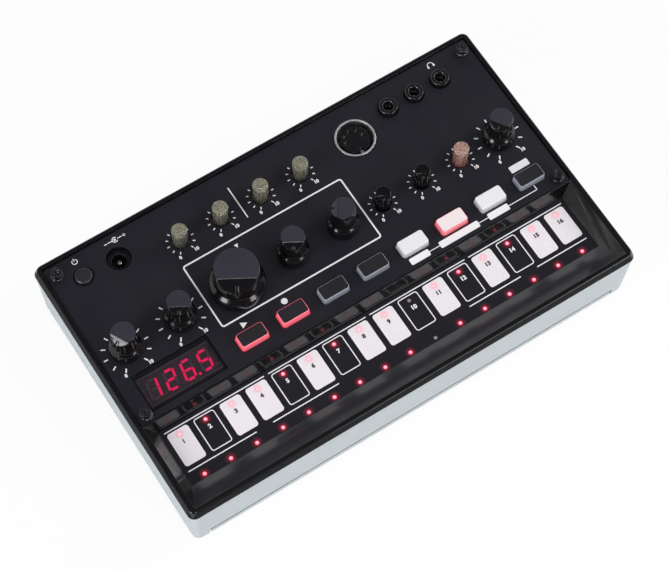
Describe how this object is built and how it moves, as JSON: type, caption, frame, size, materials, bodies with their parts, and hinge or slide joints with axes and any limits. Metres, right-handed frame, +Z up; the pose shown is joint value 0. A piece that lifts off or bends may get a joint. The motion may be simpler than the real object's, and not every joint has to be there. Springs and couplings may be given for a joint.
{
  "type": "drum synthesizer",
  "caption": "Compact tabletop drum synthesizer: pale case, black frame, dark panel with knobs, buttons, display and sockets, and a sunken strip of touch keys.",
  "frame": {"origin": "middle of the footprint, on the table under the feet", "axes": "+X to the player's right, +Y to the back, where the sockets are, +Z up"},
  "size_m": [0.193, 0.115, 0.046],
  "materials": {
    "case_grey": "fine-grained moulded plastic, pale cool grey",
    "foot_rubber": "matt black rubber",
    "frame_black": "polished black plastic",
    "panel_charcoal": "satin charcoal paint with white print",
    "screw_black": "blackened steel",
    "screw_steel": "plain steel",
    "board_green": "green solder mask",
    "spacer_brass": "turned brass",
    "film_black": "printed gloss film with pale key fields",
    "light_red": "clear red lens",
    "chip_black": "matt black moulding",
    "ribbon_grey": "grey flat cable",
    "contact_steel": "nickel-plated sheet",
    "contact_brass": "gilt spring metal",
    "wire_red": "insulated wire",
    "pot_steel": "pressed steel housing",
    "shaft_grey": "moulded shaft",
    "socket_black": "black moulded socket",
    "din_chrome": "bright plated shell",
    "display_black": "dark display housing",
    "window_smoke": "smoked clear window",
    "knob_black": "satin black soft-touch plastic",
    "trim_smoke": "smoky translucent plastic",
    "trim_lit": "translucent plastic lit from below",
    "button_black": "black printed cap on translucent plastic",
    "button_white": "translucent white plastic"
  },
  "bodies": {
    "chassis": {"lower_case": "case_grey", "upper_frame": "frame_black", "top_panel": "panel_charcoal", "rubber_feet": "foot_rubber", "panel_screws": "screw_black", "case_screws": "screw_black", "control_board": "board_green", "board_spacers": "spacer_brass", "board_screws": "screw_steel", "touch_film": "film_black", "touch_board": "board_green", "key_leds": "light_red", "step_leds": "light_red", "indicator_leds": "light_red", "board_chips": "chip_black", "ribbon_cable": "ribbon_grey", "battery_contacts": "contact_steel", "battery_leads": "wire_red", "pot_bodies": "pot_steel", "tact_switches": "chip_black", "power_switch": "chip_black", "dc_jack": "socket_black", "dc_pin": "contact_steel", "din_shell": "din_chrome", "din_insert": "socket_black", "din_contacts": "contact_brass", "mini_jacks": "socket_black", "jack_contacts": "contact_brass", "display_module": "display_black", "display_segments": "light_red", "display_window": "window_smoke"},
    "battery_cover": {"battery_cover": "case_grey"},
    "power_button": {"power_button": "button_black"},
    "drive_dial": {"drive_knob": "knob_black", "drive_shaft": "shaft_grey"},
    "tone_dial": {"tone_knob": "knob_black", "tone_shaft": "shaft_grey"},
    "pitch_dial": {"pitch_knob": "knob_black", "pitch_shaft": "shaft_grey"},
    "bend_dial": {"bend_knob": "knob_black", "bend_shaft": "shaft_grey"},
    "time_dial": {"time_knob": "knob_black", "time_shaft": "shaft_grey"},
    "volume_dial": {"volume_knob": "knob_black", "volume_shaft": "shaft_grey"},
    "colour_trim": {"colour_knob": "trim_smoke"},
    "level_trim": {"level_knob": "trim_smoke"},
    "attack_trim": {"attack_knob": "trim_smoke"},
    "decay_trim": {"decay_knob": "trim_smoke"},
    "accent_trim": {"accent_knob": "knob_black"},
    "swing_trim": {"swing_knob": "knob_black"},
    "tempo_trim": {"tempo_knob": "trim_lit"},
    "play_button": {"play_button": "button_black"},
    "record_button": {"record_button": "button_black"},
    "mode_button": {"mode_button": "button_black"},
    "effect_button": {"effect_button": "button_black"},
    "accent_button": {"accent_button": "button_white"},
    "active_button": {"active_button": "button_white"},
    "memory_button": {"memory_button": "button_white"},
    "function_button": {"function_button": "button_black"}
  },
  "joints": [
    {"name": "drive_turn", "type": "hinge", "parent": "chassis", "child": "drive_dial", "pos_m": [-0.08295, 0.01099, 0.0308], "axis": [0, 0, -1], "range_deg": [-32, 268]},
    {"name": "tone_turn", "type": "hinge", "parent": "chassis", "child": "tone_dial", "pos_m": [-0.05991, 0.01099, 0.0308], "axis": [0, 0, -1], "range_deg": [0, 300]},
    {"name": "pitch_turn", "type": "hinge", "parent": "chassis", "child": "pitch_dial", "pos_m": [-0.0355, 0.01099, 0.0308], "axis": [0, 0, -1], "range_deg": [0, 300]},
    {"name": "bend_turn", "type": "hinge", "parent": "chassis", "child": "bend_dial", "pos_m": [-0.0115, 0.01099, 0.0308], "axis": [0, 0, -1], "range_deg": [0, 300]},
    {"name": "time_turn", "type": "hinge", "parent": "chassis", "child": "time_dial", "pos_m": [0.0105, 0.01099, 0.0308], "axis": [0, 0, -1], "range_deg": [-95, 205]},
    {"name": "volume_turn", "type": "hinge", "parent": "chassis", "child": "volume_dial", "pos_m": [0.08045, 0.01099, 0.0308], "axis": [0, 0, -1], "range_deg": [-25, 275]},
    {"name": "colour_turn", "type": "hinge", "parent": "chassis", "child": "colour_trim", "pos_m": [-0.0439, 0.038, 0.0308], "axis": [0, 0, -1], "range_deg": [0, 300]},
    {"name": "level_turn", "type": "hinge", "parent": "chassis", "child": "level_trim", "pos_m": [-0.02639, 0.038, 0.0308], "axis": [0, 0, -1], "range_deg": [0, 300]},
    {"name": "attack_turn", "type": "hinge", "parent": "chassis", "child": "attack_trim", "pos_m": [-0.00889, 0.038, 0.0308], "axis": [0, 0, -1], "range_deg": [0, 300]},
    {"name": "decay_turn", "type": "hinge", "parent": "chassis", "child": "decay_trim", "pos_m": [0.00861, 0.038, 0.0308], "axis": [0, 0, -1], "range_deg": [0, 300]},
    {"name": "accent_turn", "type": "hinge", "parent": "chassis", "child": "accent_trim", "pos_m": [0.0281, 0.01099, 0.0308], "axis": [0, 0, -1], "range_deg": [0, 300]},
    {"name": "swing_turn", "type": "hinge", "parent": "chassis", "child": "swing_trim", "pos_m": [0.04555, 0.01099, 0.0308], "axis": [0, 0, -1], "range_deg": [0, 300]},
    {"name": "tempo_turn", "type": "hinge", "parent": "chassis", "child": "tempo_trim", "pos_m": [0.063, 0.01099, 0.0308], "axis": [0, 0, -1], "range_deg": [0, 300]},
    {"name": "play_press", "type": "slide", "parent": "chassis", "child": "play_button", "axis": [0, 0, -1], "range_m": [0, 0.0008], "stiffness_N_per_m": 800},
    {"name": "record_press", "type": "slide", "parent": "chassis", "child": "record_button", "axis": [0, 0, -1], "range_m": [0, 0.0008], "stiffness_N_per_m": 800},
    {"name": "mode_press", "type": "slide", "parent": "chassis", "child": "mode_button", "axis": [0, 0, -1], "range_m": [0, 0.0008], "stiffness_N_per_m": 800},
    {"name": "effect_press", "type": "slide", "parent": "chassis", "child": "effect_button", "axis": [0, 0, -1], "range_m": [0, 0.0008], "stiffness_N_per_m": 800},
    {"name": "accent_press", "type": "slide", "parent": "chassis", "child": "accent_button", "axis": [0, 0, -1], "range_m": [0, 0.0008], "stiffness_N_per_m": 800},
    {"name": "active_press", "type": "slide", "parent": "chassis", "child": "active_button", "axis": [0, 0, -1], "range_m": [0, 0.0008], "stiffness_N_per_m": 800},
    {"name": "memory_press", "type": "slide", "parent": "chassis", "child": "memory_button", "axis": [0, 0, -1], "range_m": [0, 0.0008], "stiffness_N_per_m": 800},
    {"name": "function_press", "type": "slide", "parent": "chassis", "child": "function_button", "axis": [0, 0, -1], "range_m": [0, 0.0008], "stiffness_N_per_m": 800},
    {"name": "power_press", "type": "slide", "parent": "chassis", "child": "power_button", "axis": [0, 0, -1], "range_m": [0, 0.0015], "stiffness_N_per_m": 500},
    {"name": "cover_slide", "type": "slide", "parent": "chassis", "child": "battery_cover", "axis": [0, -1, 0], "range_m": [0, 0.036]}
  ]
}
